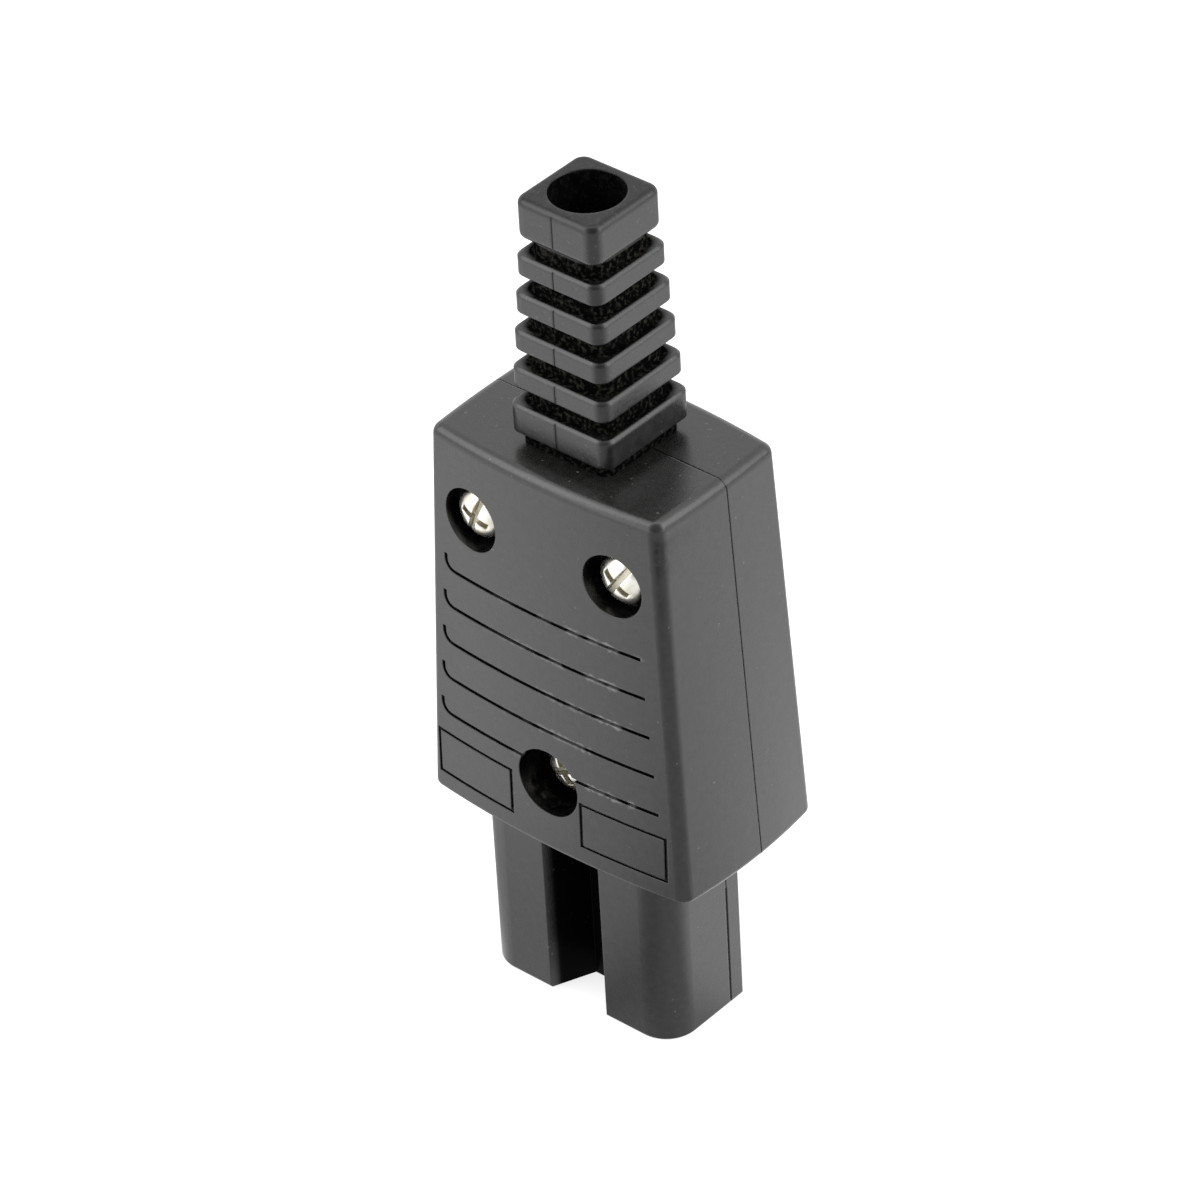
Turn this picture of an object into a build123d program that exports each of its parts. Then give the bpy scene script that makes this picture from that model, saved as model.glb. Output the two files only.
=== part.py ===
from build123d import *
import math
import os

# Rewirable connector of the hot-condition pattern: two moulded shells close on a parting plane
# that faces front and back. The nose points down and stands on z = 0, the cord leaves at the top,
# the notched face looks towards -Y, and the axis of the cord guard is x = 0, y = 0.

# Nose that enters the appliance inlet, to the standard's size
nose_width = 24.0
nose_depth = 16.0
nose_length = 20.8
nose_front_radius = 3.5
nose_rear_chamfer = 5.2
nose_edge_radius = 0.25
notch_mouth_width = 7.2
notch_floor_width = 3.2
notch_depth = 4.5

# Body: corner to corner at the nose end (low) and at the cord end (high), with crowned faces
body_height = 43.0
body_width_low = 32.1
body_width_high = 28.05
body_depth_low = 19.0
body_depth_high = 17.0
front_crown_low = 1.1
front_crown_high = 1.0
side_crown_low = 0.75
side_crown_high = 0.3
body_corner_radius = 1.4
top_edge_radius = 1.1
low_edge_radius = 0.5

# Shells
wall = 2.0
parting_y = 1.0
seam_width = 0.12
seam_depth = 0.16
nose_seam_width = 0.28
nose_seam_height = 14.5

# Engraving on the front shell
groove_width = 0.42
groove_depth = 0.4
groove_count = 5
groove_top_drop = 15.65
groove_pitch = 4.38
groove_hook = 1.7
groove_hook_radius = 1.2
groove_left_margin = 2.3
groove_right_margin = 3.0
groove_spread = 0.38
frame_line = 0.36
frame_depth = 0.28
frame_width = 10.3
frame_height = 5.35
frame_rise = 2.1
frame_gap = 8.5
frame_shift = -0.4

# Case screws, with their nuts in hexagon pockets at the back
screw_margin = 5.67
upper_screw_drop = 8.45
lower_screw_rise = 8.0
upper_recess_radius = 3.35
lower_recess_radius = 3.7
upper_head_drop = 0.5
lower_head_drop = 2.3
upper_left_turn = 69
upper_right_turn = 55
lower_turn = 26
nut_sink = 0.7
screw_radius = 1.45
screw_hole_radius = 1.6
screw_end_chamfer = 0.35
head_radius = 2.5
head_height = 1.9
head_rim_height = 1.1
head_shoulder_share = 0.7
head_shoulder_height = 1.65
drive_width = 0.7
drive_length = 3.2
drive_depth = 0.8
nut_across_flats = 5.5
nut_height = 2.4
nut_bore_radius = 1.5
nut_clearance = 0.1
nut_chamfer_height = 0.3
nut_chamfer_reach = 0.5
boss_wall = 1.2
boss_neck_radius = 3.2

# Contacts for flat pins
pin_spacing = 14.0
live_y = -1.7
earth_y = 2.3
pin_gap = 1.8
pin_width = 4.2
leaf = 0.5
mouth_flare = 0.4
mouth_height = 1.5
contact_low_z = 2.0
leaf_length = 12.5
tail_thickness = 1.0
slot_clearance = 0.45
nose_end_wall = 1.5
channel_clearance = 0.4

# Pillar terminals, and the strap that carries the earth pillar past the lower screw
pillar = 5.0
pillar_height = 8.0
live_pillar_x = 8.2
earth_pillar_rise = 5.7
wire_bore_radius = 1.3
terminal_radius = 1.2
terminal_hole_radius = 1.25
terminal_head_radius = 2.0
terminal_head_height = 1.3
terminal_slot = 0.6
terminal_slot_depth = 0.7
strap_offset = 4.7
strap_width = 2.4
strap_thickness = 0.8
seat_gap = 0.1
pad_width = 3.6

# Spring sleeves round the contact leaves
sleeve_gap = 0.04
sleeve_thickness = 0.35
sleeve_height = 6.0
sleeve_rise = 4.0
sleeve_slit = 0.8

# Cord clamp inside the cord end
clamp_drop = 18.3
clamp_height = 5.0
clamp_thickness = 1.8
clamp_spacing = 14.4
clamp_post_radius = 2.6
clamp_hole_radius = 1.6
clamp_screw_radius = 1.25
clamp_pilot_radius = 1.3
clamp_head_radius = 2.4
clamp_head_height = 1.5
clamp_screw_length = 7.5

# Cord guard, a square rubber concertina captured by the shells
cord_radius = 3.7
guard_block_wall = 1.2
guard_step_in = 0.24
guard_flange_count = 4
guard_pitch = 4.08
guard_flange = 2.35
guard_base = 3.3
guard_seat_half = 5.4
guard_seat = 1.2
guard_block = 4.3
guard_corner = 1.3
guard_neck_in = 0.85
guard_neck_wall = 0.5
guard_neck_corner = 2.3
guard_edge = 0.3
guard_block_edge = 0.7
mould_line_width = 0.14
mould_line_depth = 0.1
mould_line_x = -0.15
guard_throat_wall = 0.8
guard_fit = 0.1
collar_reach = 1.1
collar_height = 1.8
stub_length = 2.0

# Worked out from the sizes above
body_top = nose_length + body_height
cavity_low = nose_length + wall
cavity_top = body_top - wall
nose_front = -nose_depth / 2
upper_screw_z = body_top - upper_screw_drop
lower_screw_z = nose_length + lower_screw_rise
earth_pillar_z = lower_screw_z + earth_pillar_rise
clamp_z = body_top - clamp_drop
groove_top_z = body_top - groove_top_drop
frame_low_z = nose_length + frame_rise
fork_half = pin_gap / 2 + leaf
slot_width = pin_gap + 2 * slot_clearance
slot_depth = pin_width + 2 * slot_clearance
channel_width = 2 * (fork_half + mouth_flare + channel_clearance)
channel_depth = pin_width + 2 * (sleeve_gap + sleeve_thickness + channel_clearance)
guard_block_half = cord_radius + guard_block_wall
guard_base_half = guard_block_half + (guard_flange_count + 1) * guard_step_in
guard_throat_half = cord_radius + guard_throat_wall

# Length that passes right through the part, for cuts
beyond = 2 * body_top


def blend(z, low, high):
    """A body size at height z, between its nose end and its cord end."""
    return low + (high - low) * (z - nose_length) / body_height


def face_y(x, z):
    """Distance of the crowned front or back face from the middle plane."""
    half_width = blend(z, body_width_low, body_width_high) / 2
    crown = blend(z, front_crown_low, front_crown_high)
    return blend(z, body_depth_low, body_depth_high) / 2 + crown * (1 - (x / half_width) ** 2)


upper_screw_x = blend(upper_screw_z, body_width_low, body_width_high) / 2 - screw_margin


def body_section(z, inset):
    """Outline of the body at height z, with four crowned sides."""
    x = blend(z, body_width_low, body_width_high) / 2 - inset
    y = blend(z, body_depth_low, body_depth_high) / 2 - inset
    front = y + blend(z, front_crown_low, front_crown_high)
    side = x + blend(z, side_crown_low, side_crown_high)
    sides = [
        ThreePointArc((-x, -y), (0, -front), (x, -y)),
        ThreePointArc((x, -y), (side, 0), (x, y)),
        ThreePointArc((x, y), (0, front), (-x, y)),
        ThreePointArc((-x, y), (-side, 0), (-x, -y)),
    ]
    return Pos(0, 0, z) * make_face(sides)


def body_block(low_z, high_z, inset):
    return loft([body_section(low_z, inset), body_section(high_z, inset)], ruled=True)


def nose_section(inset):
    """Outline of the nose: round corners in front, cut corners behind."""
    x = nose_width / 2 - inset
    y = nose_depth / 2 - inset
    cut = nose_rear_chamfer
    outline = [(-x, -y), (x, -y), (x, y - cut), (x - cut, y), (cut - x, y), (-x, y - cut)]
    face = make_face(Polyline(*outline, close=True))
    front_corners = face.vertices().sort_by(Axis.Y)[:2]
    return fillet(front_corners, nose_front_radius - inset)


def box_between(x, y, z):
    """Box from three ranges."""
    size = [high - low for low, high in (x, y, z)]
    middle = [(high + low) / 2 for low, high in (x, y, z)]
    return Pos(*middle) * Box(*size)


def rod_y(radius, x, z, y_from, y_to):
    """Round bar along Y."""
    middle = (y_from + y_to) / 2
    return Pos(x, middle, z) * Rot(90, 0, 0) * Cylinder(radius, y_to - y_from)


def rounded_block(half, corner, low_z, height):
    return Pos(0, 0, low_z) * extrude(RectangleRounded(2 * half, 2 * half, corner), height)


def rims(block):
    """The edges round the bottom and the top of a flat block."""
    levels = block.faces().sort_by(Axis.Z)
    return levels[0].edges() + levels[-1].edges()


def case_screws():
    """Name, x, z, recess radius, face depth of the head's top and turn of the slot of each case screw."""
    side = upper_screw_x
    return [
        ("left", -side, upper_screw_z, upper_recess_radius, upper_head_drop, upper_left_turn),
        ("right", side, upper_screw_z, upper_recess_radius, upper_head_drop, upper_right_turn),
        ("nose", 0.0, lower_screw_z, lower_recess_radius, lower_head_drop, lower_turn),
    ]


def head_seat(x, z, drop):
    """The plane under a case screw's head."""
    return -face_y(x, z) + drop + head_height


def screw_length():
    """One length for all the case screws, from an upper head's seat to its sunk nut."""
    x, z = upper_screw_x, upper_screw_z
    return face_y(x, z) - nut_sink - head_seat(x, z, upper_head_drop)


def nut_face(x, z, drop):
    """The plane where the screw's end and its nut's outer face lie."""
    return head_seat(x, z, drop) + screw_length()


def hexagon_y(across_flats, x, z, y_from, y_to):
    section = RegularPolygon(across_flats / 2, 6, major_radius=False)
    return Pos(x, y_to, z) * Rot(90, 0, 0) * extrude(section, y_to - y_from)


def contact_places():
    """Name, x, y and foot of the pillar for each contact."""
    side = pin_spacing / 2
    return [
        ("line", side, live_y, live_pillar_x, cavity_low + seat_gap),
        ("neutral", -side, live_y, -live_pillar_x, cavity_low + seat_gap),
        ("earth", 0.0, earth_y, 0.0, earth_pillar_z),
    ]


def outer_form():
    """The closed housing with nose, notch and rounded edges, before it is hollowed and parted."""
    body = body_block(nose_length, body_top, 0)
    corners = body.edges().filter_by(lambda e: abs(e.tangent_at(0.5).Z) > 0.9)
    body = fillet(corners, body_corner_radius)
    body = fillet(body.faces().sort_by(Axis.Z)[-1].edges(), top_edge_radius)
    body = fillet(body.faces().sort_by(Axis.Z)[0].edges(), low_edge_radius)
    nose = extrude(nose_section(0), nose_length + low_edge_radius)
    nose = fillet(nose.faces().sort_by(Axis.Z)[0].edges(), nose_edge_radius)
    mouth = notch_mouth_width / 2
    floor = notch_floor_width / 2
    slope = (mouth - floor) / notch_depth
    outside = nose_front - notch_depth
    notch = Polyline(
        (-mouth - slope * notch_depth, outside),
        (mouth + slope * notch_depth, outside),
        (floor, nose_front + notch_depth),
        (-floor, nose_front + notch_depth),
        close=True,
    )
    return body + (nose - extrude(make_face(notch), nose_length))


def hollow():
    """What both shells leave open: the chamber, the contact channels and the cord's way out."""
    space = body_block(cavity_low, cavity_top, wall)
    for name, x, y, pillar_x, pillar_z in contact_places():
        channel_height = cavity_low + seat_gap - nose_end_wall
        space += Pos(x, y, nose_end_wall) * extrude(Rectangle(channel_width, channel_depth), channel_height)
        space += Pos(x, y, 0) * extrude(Rectangle(slot_width, slot_depth), cavity_low)
    throat = guard_throat_half + guard_fit
    return space + rounded_block(throat, guard_neck_corner, cavity_top - wall, 3 * wall)


def front_half():
    return box_between((-beyond, beyond), (-beyond, parting_y), (-beyond, beyond))


def rear_half():
    return box_between((-beyond, beyond), (parting_y, beyond), (-beyond, beyond))


def seam():
    """Fine groove round the housing where the shells meet, wider where the nose stands open."""
    fine = (parting_y - seam_width / 2, parting_y + seam_width / 2)
    wide = (parting_y - nose_seam_width / 2, parting_y + nose_seam_width / 2)
    slab = box_between((-beyond, beyond), fine, (-beyond, beyond))
    slab += box_between((-beyond, beyond), wide, (-beyond, nose_seam_height))
    core = body_block(nose_length + seam_depth, body_top - seam_depth, seam_depth)
    core += extrude(nose_section(seam_depth), nose_length + wall)
    return slab - core


def groove_outline(z, left, right):
    """One grip groove seen from the front: a long line with its left end turned up."""
    path = FilletPolyline((left, z + groove_hook), (left, z), (right, z), radius=groove_hook_radius)
    return trace(path, groove_width)


def engraving():
    """Grip grooves and two bare frames, cut into the crowned front to an even depth."""
    under_grooves = body_block(nose_length, body_top, groove_depth)
    under_frames = body_block(nose_length, body_top, frame_depth)
    marks = Part()
    edge = blend(groove_top_z, body_width_low, body_width_high) / 2
    for row in range(groove_count):
        z = groove_top_z - row * groove_pitch
        left = groove_left_margin - edge - row * groove_spread
        right = edge - groove_right_margin + row * groove_spread
        marks += extrude(Plane.XZ * groove_outline(z, left, right), beyond) - under_grooves
    for side in (-1, 1):
        x = frame_shift + side * (frame_gap + frame_width) / 2
        rim = Rectangle(frame_width, frame_height)
        rim -= Rectangle(frame_width - 2 * frame_line, frame_height - 2 * frame_line)
        placed = Plane.XZ * (Pos(x, frame_low_z + frame_height / 2) * rim)
        marks += extrude(placed, beyond) - under_frames
    return marks


def make_front_shell(outer, space):
    """Notched front shell with the screw recesses, the terminal seats and the clamp posts."""
    shell = (outer - space) & front_half()
    inner = outer & front_half()
    additions = []
    for name, x, z, recess, drop, turn in case_screws():
        seat = head_seat(x, z, drop)
        additions.append(rod_y(recess + boss_wall, x, z, -beyond, seat + boss_wall))
        additions.append(rod_y(boss_neck_radius, x, z, seat, parting_y))
    for side in (-1, 1):
        x = side * clamp_spacing / 2
        additions.append(rod_y(clamp_post_radius, x, clamp_z, -beyond, parting_y))
    for name, x, y, pillar_x, pillar_z in contact_places():
        width = (pillar_x - pad_width / 2, pillar_x + pad_width / 2)
        height = (pillar_z, pillar_z + pillar_height)
        additions.append(box_between(width, (-beyond, y - pillar / 2 - seat_gap), height))
    for piece in additions:
        shell += piece & inner
    for name, x, z, recess, drop, turn in case_screws():
        seat = head_seat(x, z, drop)
        shell -= rod_y(recess, x, z, -beyond, seat)
        shell -= rod_y(screw_hole_radius, x, z, -beyond, beyond)
    for side in (-1, 1):
        x = side * clamp_spacing / 2
        shell -= rod_y(clamp_pilot_radius, x, clamp_z, parting_y - clamp_screw_length, beyond)
    return shell - engraving() - seam()


def make_rear_shell(outer, space):
    """Plain rear shell with the three nut pockets."""
    shell = (outer - space) & rear_half()
    inner = outer & rear_half()
    pocket = nut_across_flats + 2 * nut_clearance
    for name, x, z, recess, drop, turn in case_screws():
        end = nut_face(x, z, drop)
        floor = end - nut_height - nut_clearance
        shell += rod_y(boss_neck_radius, x, z, parting_y, floor) & inner
        shell += rod_y(pocket / 2 + boss_wall, x, z, floor - boss_wall, beyond) & inner
        shell -= rod_y(screw_hole_radius, x, z, -beyond, floor)
        shell -= hexagon_y(pocket, x, z, floor, beyond)
    return shell - seam()


def mould_line(half, low_z, height):
    """Fine lines down the front and back of a rib, where the halves of its mould met."""
    width = (mould_line_x - mould_line_width / 2, mould_line_x + mould_line_width / 2)
    core = rounded_block(half - mould_line_depth, guard_corner, low_z, height)
    return box_between(width, (-2 * half, 2 * half), (low_z, low_z + height)) - core


def make_guard():
    """Seat, base and flanges on a tapering neck, with the collar that the shells hold."""
    base_low = body_top + guard_seat
    base_top = base_low + guard_base
    block_low = base_top + guard_flange_count * guard_pitch + guard_pitch - guard_flange
    base = rounded_block(guard_base_half, guard_corner, base_low, guard_base)
    guard = chamfer(rims(base), guard_edge)
    guard -= mould_line(guard_base_half, base_low, guard_base)
    for row in range(1, guard_flange_count + 1):
        half = guard_base_half - row * guard_step_in
        flange_top = base_top + row * guard_pitch
        flange = rounded_block(half, guard_corner, flange_top - guard_flange, guard_flange)
        guard += chamfer(rims(flange), guard_edge) - mould_line(half, flange_top - guard_flange, guard_flange)
    block = rounded_block(guard_block_half, guard_corner, block_low, guard_block)
    guard += fillet(rims(block), guard_block_edge) - mould_line(guard_block_half, block_low, guard_block)
    neck_low = 2 * (guard_base_half - guard_neck_in)
    neck_high = 2 * (cord_radius + guard_neck_wall)
    foot = Pos(0, 0, base_low) * RectangleRounded(neck_low, neck_low, guard_neck_corner)
    end = Pos(0, 0, block_low + guard_block / 2) * RectangleRounded(neck_high, neck_high, guard_neck_corner)
    guard += loft([foot, end], ruled=True)
    guard += rounded_block(guard_seat_half, guard_corner, body_top, guard_seat)
    collar_top = cavity_top - guard_fit
    guard += rounded_block(guard_throat_half, guard_neck_corner, collar_top, wall + guard_fit)
    collar_half = guard_throat_half + collar_reach
    guard += rounded_block(collar_half, guard_corner, collar_top - collar_height, collar_height)
    stub_low = collar_top - collar_height - stub_length
    guard += Pos(0, 0, stub_low) * extrude(Circle(guard_throat_half), stub_length)
    bore_length = block_low + guard_block - stub_low
    return guard - Pos(0, 0, stub_low) * extrude(Circle(cord_radius), bore_length)


def make_case_screw(x, z, drop, turn):
    """Pan head with a cross and one arm cut through to the rim, as the screwdriver left it turned."""
    seat = head_seat(x, z, drop)
    top = seat - head_height
    rim = (head_radius, head_rim_height)
    shoulder = (head_radius * head_shoulder_share, head_shoulder_height)
    profile = make_face([
        Line((0, 0), (head_radius, 0)),
        Line((head_radius, 0), rim),
        ThreePointArc(rim, shoulder, (0, head_height)),
        Line((0, head_height), (0, 0)),
    ])
    head = revolve(Plane.XZ * profile, Axis.Z)
    slot = Pos(0, 0, head_height) * Rot(0, 0, turn) * Box(3 * head_radius, drive_width, 2 * drive_depth)
    cross = Pos(0, 0, head_height) * Rot(0, 0, turn + 90) * Box(drive_length, drive_width, 2 * drive_depth)
    head = Pos(x, seat, z) * Rot(90, 0, 0) * (head - slot - cross)
    shank = rod_y(screw_radius, x, z, seat - head_height / 4, nut_face(x, z, drop))
    return head + chamfer(shank.edges().sort_by(Axis.Y)[-1], screw_end_chamfer)


def make_case_nut(x, z, drop):
    end = nut_face(x, z, drop)
    nut = hexagon_y(nut_across_flats, x, z, end - nut_height, end)
    corner = nut_across_flats / math.sqrt(3)
    turned = rod_y(corner, x, z, end - nut_height, end)
    ends = turned.edges().filter_by(GeomType.CIRCLE)
    turned = chamfer(ends, nut_chamfer_height, nut_chamfer_reach)
    return (nut & turned) - rod_y(nut_bore_radius, x, z, -beyond, beyond)


def make_contact(name, x, y, pillar_x, pillar_z):
    """Two spring leaves for a flat pin, a tail, and a pillar with wire bore and tapped hole."""
    inner = pin_gap / 2
    outer = fork_half
    mouth = contact_low_z + mouth_height
    top = contact_low_z + leaf_length
    fork = Polyline(
        (-outer - mouth_flare, contact_low_z), (-inner - mouth_flare, contact_low_z),
        (-inner, mouth), (-inner, top), (inner, top), (inner, mouth),
        (inner + mouth_flare, contact_low_z), (outer + mouth_flare, contact_low_z),
        (outer, mouth), (outer, top + tail_thickness), (-outer, top + tail_thickness), (-outer, mouth),
        close=True,
    )
    contact = Pos(x, y, 0) * (Plane.XZ * extrude(make_face(fork), pin_width / 2, both=True))
    half = strap_width / 2
    if name == "earth":
        turn = strap_offset
        bend = cavity_low + seat_gap + turn - strap_width
        path = Polyline(
            (-half, top), (half, top), (half, bend - turn + 2 * half), (turn + half, bend),
            (turn + half, earth_pillar_z), (half, earth_pillar_z + turn), (-half, earth_pillar_z + turn),
            (turn - half, earth_pillar_z), (turn - half, bend + half), (-half, bend - turn + half),
            close=True,
        )
        contact += Pos(0, y, 0) * (Plane.XZ * extrude(make_face(path), strap_thickness / 2, both=True))
    else:
        tail = ((x + pillar_x) / 2 - half, (x + pillar_x) / 2 + half)
        contact += box_between(tail, (y - strap_thickness, y + strap_thickness), (top, pillar_z))
    sides = ((pillar_x - pillar / 2, pillar_x + pillar / 2), (y - pillar / 2, y + pillar / 2))
    contact += box_between(*sides, (pillar_z, pillar_z + pillar_height))
    wire_bore = extrude(Circle(wire_bore_radius), pillar_height)
    contact -= Pos(pillar_x, y, pillar_z + pillar_height / 4) * wire_bore
    middle = pillar_z + pillar_height / 2
    return contact - rod_y(terminal_hole_radius, pillar_x, middle, y, y + pillar)


def make_terminal_screw(y, pillar_x, pillar_z):
    """Slotted screw that presses the wire in its pillar."""
    z = pillar_z + pillar_height / 2
    face = y + pillar / 2
    screw = rod_y(terminal_radius, pillar_x, z, y + wire_bore_radius, face + terminal_head_height)
    head_top = face + seat_gap + terminal_head_height
    screw += rod_y(terminal_head_radius, pillar_x, z, face + seat_gap, head_top)
    slot = Box(3 * terminal_head_radius, 2 * terminal_slot_depth, terminal_slot)
    return screw - Pos(pillar_x, head_top, z) * slot


def make_sleeve(x, y):
    """Slit steel sleeve that keeps the leaves pressed on the pin."""
    width = 2 * (fork_half + sleeve_gap)
    depth = pin_width + 2 * sleeve_gap
    ring = Rectangle(width + 2 * sleeve_thickness, depth + 2 * sleeve_thickness) - Rectangle(width, depth)
    ring -= Pos(0, depth / 2) * Rectangle(sleeve_slit, depth)
    return Pos(x, y, contact_low_z + sleeve_rise) * extrude(ring, sleeve_height)


def make_clamp_bar():
    """Moulded bar, arched over the cord, with a screw hole in each tab."""
    inner = cord_radius + guard_fit
    outer = inner + clamp_thickness
    base = parting_y + seat_gap
    reach = clamp_spacing / 2 + clamp_post_radius
    profile = Pos(0, base + clamp_thickness / 2) * Rectangle(2 * reach, clamp_thickness)
    profile += Circle(outer) & (Pos(0, base + outer / 2) * Rectangle(2 * outer, outer))
    profile -= Circle(inner)
    bar = Pos(0, 0, clamp_z - clamp_height / 2) * extrude(profile, clamp_height)
    for side in (-1, 1):
        bar -= rod_y(clamp_hole_radius, side * clamp_spacing / 2, clamp_z, -beyond, beyond)
    return bar


def make_clamp_screw(x):
    face = parting_y + seat_gap + clamp_thickness
    screw = rod_y(clamp_screw_radius, x, clamp_z, face - clamp_screw_length, face + clamp_head_height / 2)
    head_top = face + clamp_head_height
    screw += rod_y(clamp_head_radius, x, clamp_z, face, head_top)
    for turn in (0, 90):
        arm = Box(drive_length, 2 * drive_depth, drive_width)
        screw -= Pos(x, head_top, clamp_z) * Rot(0, turn, 0) * arm
    return screw


def write(name, solid):
    export_step(solid, f"parts/{name}.step")


os.makedirs("parts", exist_ok=True)

outer = outer_form()
space = hollow()
write("front_shell", make_front_shell(outer, space))
write("rear_shell", make_rear_shell(outer, space))
write("cord_guard", make_guard())

for name, x, z, recess, drop, turn in case_screws():
    write(f"case_screw_{name}", make_case_screw(x, z, drop, turn))
    write(f"case_nut_{name}", make_case_nut(x, z, drop))

for name, x, y, pillar_x, pillar_z in contact_places():
    write(f"contact_{name}", make_contact(name, x, y, pillar_x, pillar_z))
    write(f"contact_sleeve_{name}", make_sleeve(x, y))
    write(f"terminal_screw_{name}", make_terminal_screw(y, pillar_x, pillar_z))

write("clamp_bar", make_clamp_bar())
for name, side in (("left", -1), ("right", 1)):
    write(f"clamp_screw_{name}", make_clamp_screw(side * clamp_spacing / 2))
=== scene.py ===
import math

import bmesh
import bpy
from mathutils import Matrix, Vector

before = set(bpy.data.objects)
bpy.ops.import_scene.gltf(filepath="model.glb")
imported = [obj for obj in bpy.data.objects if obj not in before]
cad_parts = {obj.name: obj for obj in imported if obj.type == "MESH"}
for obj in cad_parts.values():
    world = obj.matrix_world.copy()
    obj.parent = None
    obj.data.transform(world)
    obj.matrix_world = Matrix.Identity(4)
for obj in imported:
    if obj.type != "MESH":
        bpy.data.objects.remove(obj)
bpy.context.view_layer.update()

# Contacts: three springy sockets pressed from brass sheet, each with a pillar for its wire.
# Bright where they were rolled and a little tarnished elsewhere. They lie in channels of the
# front shell, with the mouths behind the slots in the end of the nose.

mm = 0.001


class Port:
    """A socket of a material's nodes that can be used in sums, as a number can."""

    def __init__(self, tree, socket):
        self.tree = tree
        self.socket = socket

    def node(self, kind, settings=None, output=0, **inputs):
        """Adds a node: its settings first, then its inputs, by name or as i0, i1 and so on."""
        new = self.tree.nodes.new(kind)
        for name, value in (settings or {}).items():
            if name == "stops":
                elements = new.color_ramp.elements
                for index, (place, level) in enumerate(value):
                    stop = elements[index] if index < 2 else elements.new(place)
                    stop.position = place
                    stop.color = (level, level, level, 1)
            else:
                setattr(new, name, value)
        for name, value in inputs.items():
            numbered = name[1:].isdigit()
            target = new.inputs[int(name[1:]) if numbered else name.replace("_", " ")]
            if isinstance(value, Port):
                self.tree.links.new(value.socket, target)
            else:
                target.default_value = value
        return Port(self.tree, new.outputs[output])

    def maths(self, operation, other):
        return self.node("ShaderNodeMath", {"operation": operation}, i0=self, i1=other)

    def __add__(self, other):
        return self.maths("ADD", other)

    def __radd__(self, other):
        return self.maths("ADD", other)

    def __mul__(self, other):
        return self.maths("MULTIPLY", other)

    def __rmul__(self, other):
        return self.maths("MULTIPLY", other)

    def __sub__(self, other):
        return self.maths("SUBTRACT", other)

    def __rsub__(self, other):
        return self.node("ShaderNodeMath", {"operation": "SUBTRACT"}, i0=other, i1=self)

    def __truediv__(self, other):
        return self.maths("DIVIDE", other)

    def __pow__(self, other):
        return self.maths("POWER", other)


def finish_named(name):
    """A new material, its Principled node and its Object coordinates."""
    material = bpy.data.materials.new(name)
    material.use_nodes = True
    tree = material.node_tree
    surface = tree.nodes["Principled BSDF"]
    place = tree.nodes.new("ShaderNodeTexCoord")
    return material, surface, Port(tree, place.outputs["Object"])


def feed(surface, name, value):
    """Sets a Principled socket to a number or colour, or links it to a port."""
    if isinstance(value, Port):
        value.tree.links.new(value.socket, surface.inputs[name])
    else:
        surface.inputs[name].default_value = value


def grain(place, scale, detail=2.0, roughness=0.5):
    """Noise between about 0.3 and 0.7 whose grains are 1/scale metres across."""
    return place.node(
        "ShaderNodeTexNoise", Vector=place, Scale=scale, Detail=detail, Roughness=roughness
    )


def ramp(value, *stops):
    return value.node("ShaderNodeValToRGB", {"stops": stops}, Fac=value)


def tint(factor, first, second):
    """A colour that goes from the first, which may be a port, to the second with the factor."""
    settings = {"data_type": "RGBA"}
    first = first if isinstance(first, Port) else (*first, 1)
    return factor.node("ShaderNodeMix", settings, output=2, i0=factor, i6=first, i7=(*second, 1))


def eased(place, radius):
    """Normals that round the edges off, as a mould or a plating does."""
    return place.node("ShaderNodeBevel", {"samples": 8}, Radius=radius)


def relief(height, depth, rounded, strength=1.0):
    """Rounded normals, bumped by a height from 0 to 1 that stands for a depth in metres."""
    return height.node(
        "ShaderNodeBump", Height=height, Distance=depth, Strength=strength, Normal=rounded
    )


def dress(names, material):
    """Gives CAD nodes their finish."""
    for name in names:
        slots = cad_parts[name].data.materials
        slots.clear()
        slots.append(material)


poles = ("line", "neutral", "earth")

brass, surface, place = finish_named("pressed_brass")
tarnish = ramp(grain(place, 400, 4.0), (0.42, 0.0), (0.68, 1.0))
feed(surface, "Base Color", tint(tarnish, (0.78, 0.56, 0.23), (0.55, 0.36, 0.14)))
feed(surface, "Metallic", 1.0)
feed(surface, "Roughness", tarnish * 0.2 + 0.24)
feed(surface, "Normal", relief(grain(place, 6000), 0.01 * mm, eased(place, 0.08 * mm)))
dress([f"contact_{pole}" for pole in poles], brass)

# Spring sleeves: slit rings of blued spring steel, slipped over the leaves of each contact so that
# they keep their grip on a hot pin.

blued, surface, place = finish_named("blued_spring_steel")
heat = ramp(grain(place, 250, 3.0), (0.35, 0.0), (0.7, 1.0))
feed(surface, "Base Color", tint(heat, (0.24, 0.26, 0.31), (0.42, 0.42, 0.43)))
feed(surface, "Metallic", 1.0)
feed(surface, "Roughness", heat * 0.15 + 0.28)
dress([f"contact_sleeve_{pole}" for pole in poles], blued)

# Terminal screws, cord clamp screws and case nuts: small turned steel parts with a bright zinc
# plating that has clouded a little.

zinc, surface, place = finish_named("zinc_plated_steel")
cloud = ramp(grain(place, 900, 4.0), (0.35, 0.0), (0.7, 1.0))
feed(surface, "Base Color", tint(cloud, (0.66, 0.67, 0.69), (0.5, 0.5, 0.5)))
feed(surface, "Metallic", 1.0)
feed(surface, "Roughness", cloud * 0.2 + 0.22)
feed(surface, "Normal", relief(grain(place, 5000), 0.008 * mm, eased(place, 0.1 * mm)))
screw_places = ("left", "right", "nose")
dress([f"terminal_screw_{pole}" for pole in poles], zinc)
dress(["clamp_screw_left", "clamp_screw_right"], zinc)
dress([f"case_nut_{screw_place}" for screw_place in screw_places], zinc)

# Cord clamp bar: a small arch moulded from the same hard plastic as the case, plain and a little
# shinier, because it is never seen.

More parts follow.
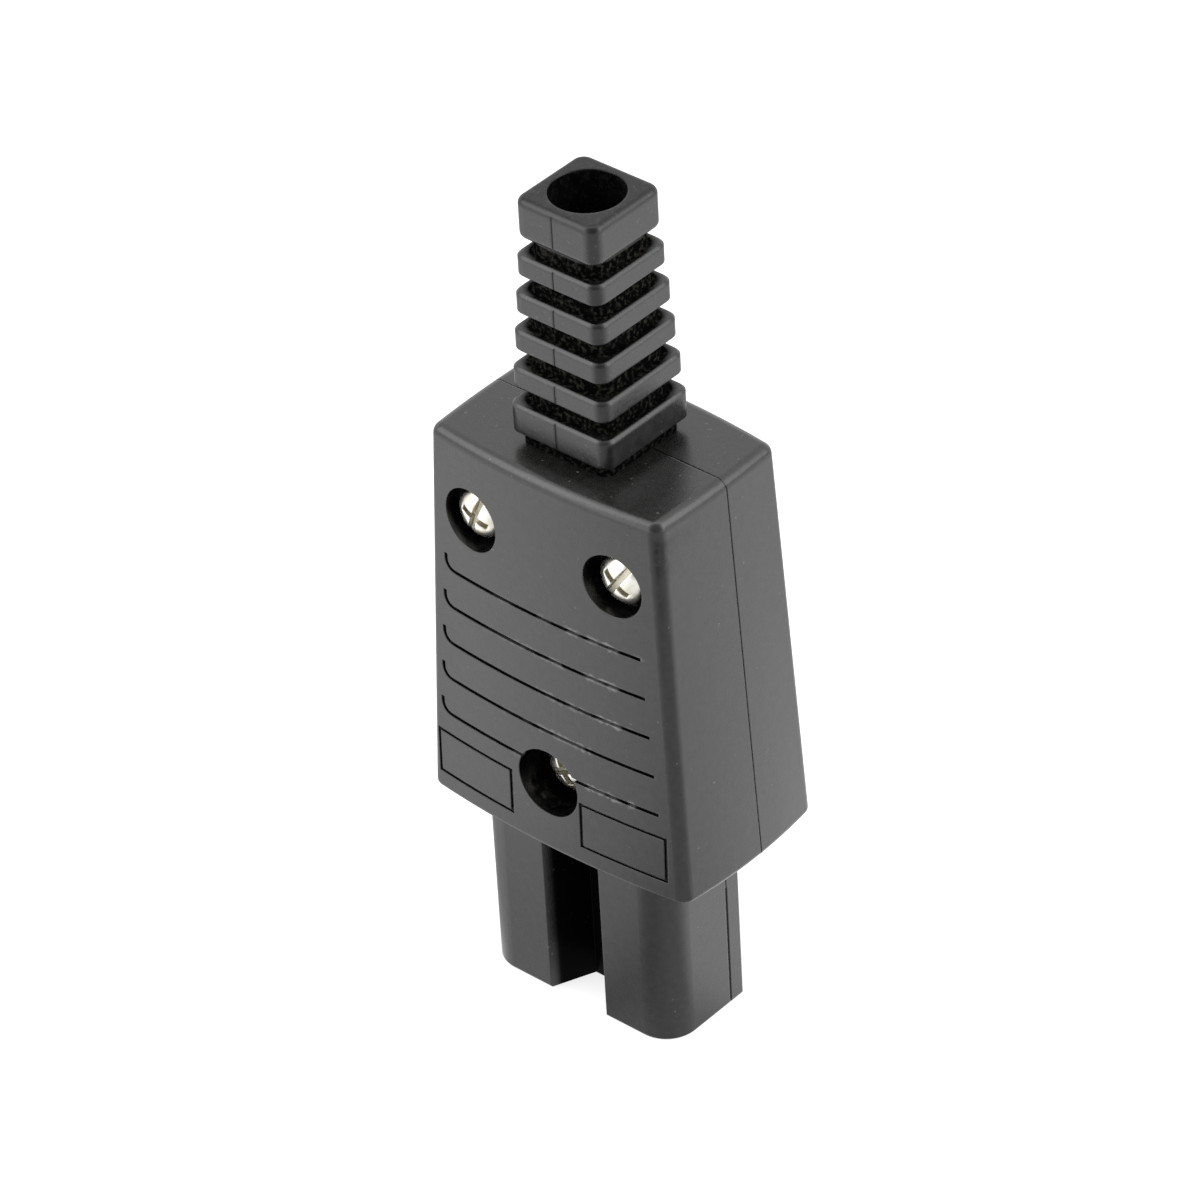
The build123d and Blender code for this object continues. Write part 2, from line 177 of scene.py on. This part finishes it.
bar_plastic, surface, place = finish_named("clamp_bar_plastic")
flow = ramp(grain(place, 300, 3.0), (0.35, 0.0), (0.7, 1.0))
feed(surface, "Base Color", tint(flow, (0.030, 0.030, 0.031), (0.045, 0.045, 0.045)))
feed(surface, "Roughness", flow * 0.1 + 0.35)
dress(["clamp_bar"], bar_plastic)

# Shells: two halves moulded from black thermoset with a fine satin texture, screwed together.
# The engraving, the recesses and the notch carry painted shade, a dull near-black surface laid over
# them. The lips of the grip grooves are painted pale in places towards the right, partly as chipped
# wear and partly as painted highlight. Dust clings to the top.


def split(place):
    """The three coordinates of a place, in millimetres."""
    return [place.node("ShaderNodeSeparateXYZ", output=axis, Vector=place) / mm for axis in "XYZ"]


def magnitude(value):
    return value.node("ShaderNodeMath", {"operation": "ABSOLUTE"}, i0=value)


def graded(value, start, end, *stops):
    """A ramp over a length, with its stops as lengths too. It is finer over a shorter reach."""
    reach = end - start
    return ramp((value - start) / reach, *[((at - start) / reach, level) for at, level in stops])


def between(low, high, share):
    """A value that goes from low to high while the share goes from 0 to 1."""
    return low + (high - low) * share


def grey(level):
    return (level, level, level)


def box_of(name):
    """The lowest and the highest corner of a CAD node, in millimetres."""
    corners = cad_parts[name].bound_box
    return Vector(corners[0]) / mm, Vector(corners[6]) / mm


def cover(surface, place, share, over):
    """Lays another surface over a material's own, by a share."""
    tree = place.tree
    mixed = share.node("ShaderNodeMixShader", i0=share, i1=Port(tree, surface.outputs[0]), i2=over)
    tree.links.new(mixed.socket, tree.nodes["Material Output"].inputs["Surface"])


shell_plastic, surface, place = finish_named("black_shell_plastic")
x, y, z = split(place)
long_reach = 100
short_reach = 10
body_top = box_of("front_shell")[1].z

# Pale marks on the lips of the grip grooves, more of them towards the right: partly chipped wear
# and partly painted highlight on the lips.
groove_top = body_top - 15.65
groove_pitch = 4.38
groove_rows = (groove_top - z) / groove_pitch + 0.5
across_row = groove_rows.node("ShaderNodeMath", {"operation": "FRACT"}, i0=groove_rows)
ragged = (grain(place, 1700, 3.0) - 0.5) * 0.9
from_groove = magnitude(across_row - 0.5) * groove_pitch + ragged
lips = ramp(from_groove, (0.22, 1.0), (0.5, 0.0))
stretches = ramp(grain(place, 330, 2.0), (0.5, 0.0), (0.58, 1.0))
grooved = graded(z, 0, long_reach, (29, 0.0), (29.5, 1.0), (49, 1.0), (49.5, 0.0))
frontwards = graded(y, 0, -short_reach, (-7, 0.0), (-8, 1.0))
rightwards = graded(x, -15, 15, (-9, 0.0), (4.8, 1.0), (11.7, 1.0), (12.6, 0.0))
chips_and_lip_highlights = lips * stretches * (grooved * frontwards) * rightwards

# The skin, nearly black, with its texture, its specks and the dust on top.
fine = grain(place, 3800, 2.0, 0.6)
broad = ramp(grain(place, 90, 3.0), (0.3, 0.0), (0.7, 1.0))
mottle = ramp(grain(place, 1300, 4.0), (0.35, 0.0), (0.65, 1.0))
black = tint(mottle, grey(0.001), grey(0.011))
upwards = graded(z, 0, long_reach, (body_top - 2.8, 0.0), (body_top + 0.2, 0.04))
specks = ramp(grain(place, 1900, 1.0) + upwards, (0.76, 0.0), (0.82, 1.0))
dust = graded(z, 0, long_reach, (body_top - 1.3, 0.0), (body_top, 0.06))
dusty = tint(specks * 0.4 + dust, black, (0.3, 0.3, 0.28))
# The lips of the grooves are painted pale here: partly chipped wear, partly painted highlight.
feed(surface, "Base Color", tint(chips_and_lip_highlights * 0.85, dusty, grey(0.27)))
feed(surface, "Roughness", broad * 0.04 + fine * 0.08 + 0.2)
feed(surface, "Specular IOR Level", 0.5)
feed(surface, "Normal", relief(fine, 0.015 * mm, eased(place, 0.16 * mm), 0.6))

# The engraving and the recesses, which lie under a front face that is crowned and tapers upwards,
# and the painted shade in them, which noise fades in patches and opens where real glints show.
nose_length = 20.8
height_share = (z - nose_length) / (body_top - nose_length)
half_width = between(16.05, 14.025, height_share)
crown = between(1.1, 1.0, height_share)
face = between(10.6, 9.5, height_share) - (x / half_width) ** 2 * crown
under_face = ramp(y + face, (0.05, 0.0), (0.2, 0.6), (0.45, 0.6), (0.65, 1.0))
faded = ramp(grain(place, 420, 2.0), (0.45, 0.0), (0.62, 0.5))
glints = ramp(grain(place, 650, 2.0), (0.5, 0.0), (0.62, 0.55))
on_body = graded(z, 0, long_reach, (21.2, 0.0), (21.5, 1.0), (61.8, 1.0), (62.2, 0.0))
on_body = on_body * graded(magnitude(x), 0, long_reach, (13.8, 1.0), (14.2, 0.0))
on_body = on_body * graded(y, 0, -short_reach, (-3, 0.0), (-3.1, 1.0))
engraved = under_face * (1 - chips_and_lip_highlights * 0.7) * (1 - faded) * on_body

# The notch in the nose, and the painted shade over all that lies deep: a dull, nearly black surface
# with dust specks in it, laid over the skin.
notch = graded(y, -50, 50, (-7.7, 0.0), (-7, 1.0), (-3.3, 1.0), (-3.1, 0.0))
notch = notch * graded(z, 0, long_reach, (20, 1.0), (21, 0.0))
notch = notch * graded(magnitude(x), 0, long_reach, (3.4, 1.0), (3.6, 0.0))
shell_painted_shade = (engraved * (1 - glints)).maths("MAXIMUM", notch)
shade_and_speck_colour = tint(specks, grey(0.002), grey(0.05))
painted_shade_surface = place.node("ShaderNodeBsdfPrincipled", Base_Color=shade_and_speck_colour, Roughness=0.7, Specular_IOR_Level=0.0)
cover(surface, place, shell_painted_shade * 0.95, painted_shade_surface)
dress(["front_shell", "rear_shell"], shell_plastic)

# Cord guard: one piece of black rubber, a square concertina that lets the cord bend. Its collar is
# held between the shells, and the cord goes through its bore. Its outer faces shine. The necks and
# the tops of the flanges between them, the bore and part of the end face carry painted shade, a dull
# near-black surface in which grit lies.

rubber, surface, place = finish_named("guard_rubber")
x, y, z = split(place)
skin = grain(place, 2600, 3.0)
bloom = ramp(grain(place, 900, 4.0), (0.35, 0.0), (0.65, 1.0))
grit = ramp(grain(place, 2100, 2.0), (0.66, 0.0), (0.74, 1.0))
black = tint(bloom, grey(0.001), grey(0.012))
feed(surface, "Base Color", tint(grit * 0.3, black, (0.2, 0.2, 0.17)))
feed(surface, "Roughness", bloom * 0.05 + skin * 0.1 + 0.22)
feed(surface, "Specular IOR Level", 0.5)
feed(surface, "Normal", relief(skin, 0.025 * mm, eased(place, 0.35 * mm), 0.6))

guard_end = box_of("cord_guard")[1]
base_half = guard_end.x
base_top = 68.3
block_bottom = guard_end.z - 4.3
taper = 0.0588
squareness = 6
from_middle = (x ** squareness + y ** squareness) ** (1 / squareness)
inside_rim = base_half - (z - base_top) * taper - from_middle
under_block = graded(z, 0, long_reach, (block_bottom - 0.35, 1.0), (block_bottom - 0.05, 0.0))
folds = ramp(inside_rim, (0.16, 0.0), (0.7, 1.0)) * under_block
bore = graded((x ** 2 + y ** 2) ** 0.5, 0, short_reach, (3.66, 1.0), (3.74, 0.0))
end_face = graded(z, 0, long_reach, (guard_end.z - 0.55, 0.0), (guard_end.z - 0.15, 0.4))
# Painted shade over the folds, the bore and part of the end face, with grit in it.
guard_painted_shade = folds.maths("MAXIMUM", bore.maths("MAXIMUM", end_face))
settled = ramp(grain(place, 2400, 3.0), (0.5, 0.0), (0.7, 1.0)) * (1 - bore)
shade_and_grit_colour = tint(settled, grey(0.004), (0.05, 0.047, 0.04))
painted_shade_surface = place.node("ShaderNodeBsdfPrincipled", Base_Color=shade_and_grit_colour, Roughness=0.8, Specular_IOR_Level=0.0)
cover(surface, place, guard_painted_shade, painted_shade_surface)
dress(["cord_guard"], rubber)

# Case screws: pan head machine screws, nickel plated, that go through both shells into the nuts.
# The plating rounds their edges. Their drives have been used, and inside them the nickel is painted
# darker as painted shade and browned by old dirt.

nickel, surface, place = finish_named("nickel_plate")
x, y, z = split(place)
upper_start, upper_end = box_of("case_screw_right")
lower_start, lower_end = box_of("case_screw_nose")
upper_middle = (upper_start + upper_end) / 2
lower_middle = (lower_start + lower_end) / 2
head_radius = (upper_end.x - upper_start.x) / 2
dome_drop = 0.8
dome_power = 3.26

upper = graded(z, 0, long_reach, (44.99, 0.0), (45.01, 1.0))
screw_side = magnitude(x) - upper * upper_middle.x
screw_up = z - between(lower_middle.z, upper_middle.z, upper)
radius = (screw_side ** 2 + screw_up ** 2) ** 0.5
below_top = y - between(lower_start.y, upper_start.y, upper)
below_dome = below_top - (radius / head_radius) ** dome_power * dome_drop
# The drive recesses: painted darker as painted shade, and browned by old dirt.
drive_shade_and_dirt = ramp(below_dome, (0.146, 0.0), (0.546, 1.0))
drive_shade_and_dirt = drive_shade_and_dirt * graded(radius, 0, short_reach, (2.36, 1.0), (2.5, 0.0))
drive_shade_and_dirt = drive_shade_and_dirt * graded(below_top, 0, short_reach, (0.946, 1.0), (1.146, 0.0))
smear = ramp(grain(place, 700, 3.0), (0.4, 0.0), (0.7, 1.0))
plating = tint(smear, (0.80, 0.78, 0.73), (0.56, 0.53, 0.44))
feed(surface, "Base Color", tint(drive_shade_and_dirt * 0.8, plating, (0.38, 0.35, 0.26)))
feed(surface, "Metallic", 1.0)
feed(surface, "Roughness", smear * 0.12 + drive_shade_and_dirt * 0.1 + 0.26)
feed(surface, "Normal", relief(grain(place, 1300), 0.02 * mm, eased(place, 0.3 * mm), 0.6))
dress([f"case_screw_{screw_place}" for screw_place in screw_places], nickel)

# Floor: one pale sweep under the connector. It is white to the camera and keeps the connector's
# shadow. In reflections it is bright on both sides and darker in front of the connector and behind
# it, and close to its left it carries a painted shadow.

camera_azimuth = math.radians(42.61)
towards = Vector((math.sin(camera_azimuth), -math.cos(camera_azimuth), 0))
across = Vector((math.cos(camera_azimuth), math.sin(camera_azimuth), 0))

floor_reach = 1.5
sweep = bmesh.new()
bmesh.ops.create_grid(sweep, x_segments=1, y_segments=1, size=floor_reach)
floor_mesh = bpy.data.meshes.new("floor")
sweep.to_mesh(floor_mesh)
sweep.free()
floor = bpy.data.objects.new("floor", floor_mesh)
bpy.context.scene.collection.objects.link(floor)


def along(place, direction):
    """How far a place lies along a direction."""
    settings = {"operation": "DOT_PRODUCT"}
    return place.node("ShaderNodeVectorMath", settings, output="Value", i0=place, i1=direction)


paper = bpy.data.materials.new("pale_paper")
paper.cycles.emission_sampling = "NONE"
paper.use_nodes = True
tree = paper.node_tree
tree.nodes.clear()
output = tree.nodes.new("ShaderNodeOutputMaterial")
place = Port(tree, tree.nodes.new("ShaderNodeTexCoord").outputs["Object"])
rightward, forward = along(place, across), along(place, towards)
half_turn = magnitude(rightward.maths("ARCTAN2", forward)) / math.pi
sides = ramp(
    half_turn,
    (0.0, 0.56), (0.2, 0.56), (0.32, 0.9), (0.42, 1.0),
    (0.54, 1.02), (0.62, 0.6), (0.76, 0.4), (1.0, 0.5),
)
# Painted shadow: the floor seen in reflections is darkened close to the connector's left.
on_left = graded(rightward, -50 * mm, 50 * mm, (-5 * mm, 1.0), (5 * mm, 0.0))
from_axis = (rightward ** 2 + forward ** 2) ** 0.5
shade_stops = ((18 * mm, 0.36), (30 * mm, 0.27), (42 * mm, 0.12), (75 * mm, 0.0))
painted_shadow_floor = 1 - on_left * graded(from_axis, 0, 100 * mm, *shade_stops)

mirror_level = 2.0
white_level = 0.74
seen = place.node("ShaderNodeLightPath", output="Is Camera Ray")
mirrored = place.node("ShaderNodeLightPath", output="Is Glossy Ray")
matt = place.node("ShaderNodeBsdfDiffuse", Color=(0.82, 0.82, 0.82, 1))
glow = place.node("ShaderNodeEmission", Color=(1, 1, 1, 1), Strength=seen * white_level)
lit = place.node("ShaderNodeAddShader", i0=matt, i1=glow)
mirror_strength = sides * painted_shadow_floor * mirror_level
reflected = place.node("ShaderNodeEmission", Color=(1, 1, 1, 1), Strength=mirror_strength)
both = place.node("ShaderNodeMixShader", i0=mirrored, i1=lit, i2=reflected)
tree.links.new(both.socket, output.inputs["Surface"])
floor_mesh.materials.append(paper)

# Light: a white room that is dark behind the camera and brightest in a wide ring round it, with a
# large soft lamp high on each side.

world = bpy.data.worlds.new("white_room")
bpy.context.scene.world = world
world.cycles.sampling_method = "NONE"
world.use_nodes = True
tree = world.node_tree
background = tree.nodes["Background"]
background.inputs["Color"].default_value = (1, 1, 1, 1)
facing = Port(tree, tree.nodes.new("ShaderNodeTexCoord").outputs["Generated"])
camera_elevation = math.radians(36.41)
camera_side = towards * math.cos(camera_elevation) + Vector((0, 0, math.sin(camera_elevation)))
open_room = ramp(
    along(facing, camera_side),
    (0.0, 0.72), (0.25, 1.0), (0.38, 1.7), (0.5, 1.6), (0.62, 0.9), (0.85, 0.25),
)
room_level = 0.5
seen = facing.node("ShaderNodeLightPath", output="Is Camera Ray")
mirrored = facing.node("ShaderNodeLightPath", output="Is Glossy Ray")
unseen_strength = mirrored * open_room * mirror_level + (1 - mirrored) * room_level
strength = seen + (1 - seen) * unseen_strength
tree.links.new(strength.socket, background.inputs["Strength"])

middle = Vector((0, 0, 45 * mm))
lamp_size = 0.5
lamp_power = 1.4


def soft_lamp(name, place):
    """A square lamp that faces the middle of the connector."""
    data = bpy.data.lights.new(name, "AREA")
    data.size = lamp_size
    data.energy = lamp_power
    lamp = bpy.data.objects.new(name, data)
    lamp.location = place
    lamp.rotation_euler = (middle - Vector(place)).to_track_quat("-Z", "Y").to_euler()
    bpy.context.scene.collection.objects.link(lamp)


soft_lamp("left_lamp", (-0.45, -0.35, 0.5))
soft_lamp("right_lamp", (0.5, 0.3, 0.45))

# Camera: at the photograph's angle, far off with a long lens, and turned a little about its axis.

roll = math.radians(3.37)
focal_pixels = 6500
frame_pixels = 1200
sensor = 36.0
distance = 617.5 * mm
shift_right = -1.0 * mm
shift_up = -0.47 * mm

up = camera_side.cross(across)
rolled_right = across * math.cos(roll) - up * math.sin(roll)
rolled_up = across * math.sin(roll) + up * math.cos(roll)
stand = middle + camera_side * distance + rolled_right * shift_right + rolled_up * shift_up
turn = Matrix((rolled_right, rolled_up, camera_side)).transposed().to_4x4()
lens = bpy.data.cameras.new("camera")
lens.lens = sensor * focal_pixels / frame_pixels
lens.sensor_width = sensor
camera = bpy.data.objects.new("camera", lens)
camera.matrix_world = Matrix.Translation(stand) @ turn
bpy.context.scene.collection.objects.link(camera)
bpy.context.scene.camera = camera
bpy.context.scene.view_settings.view_transform = "Standard"
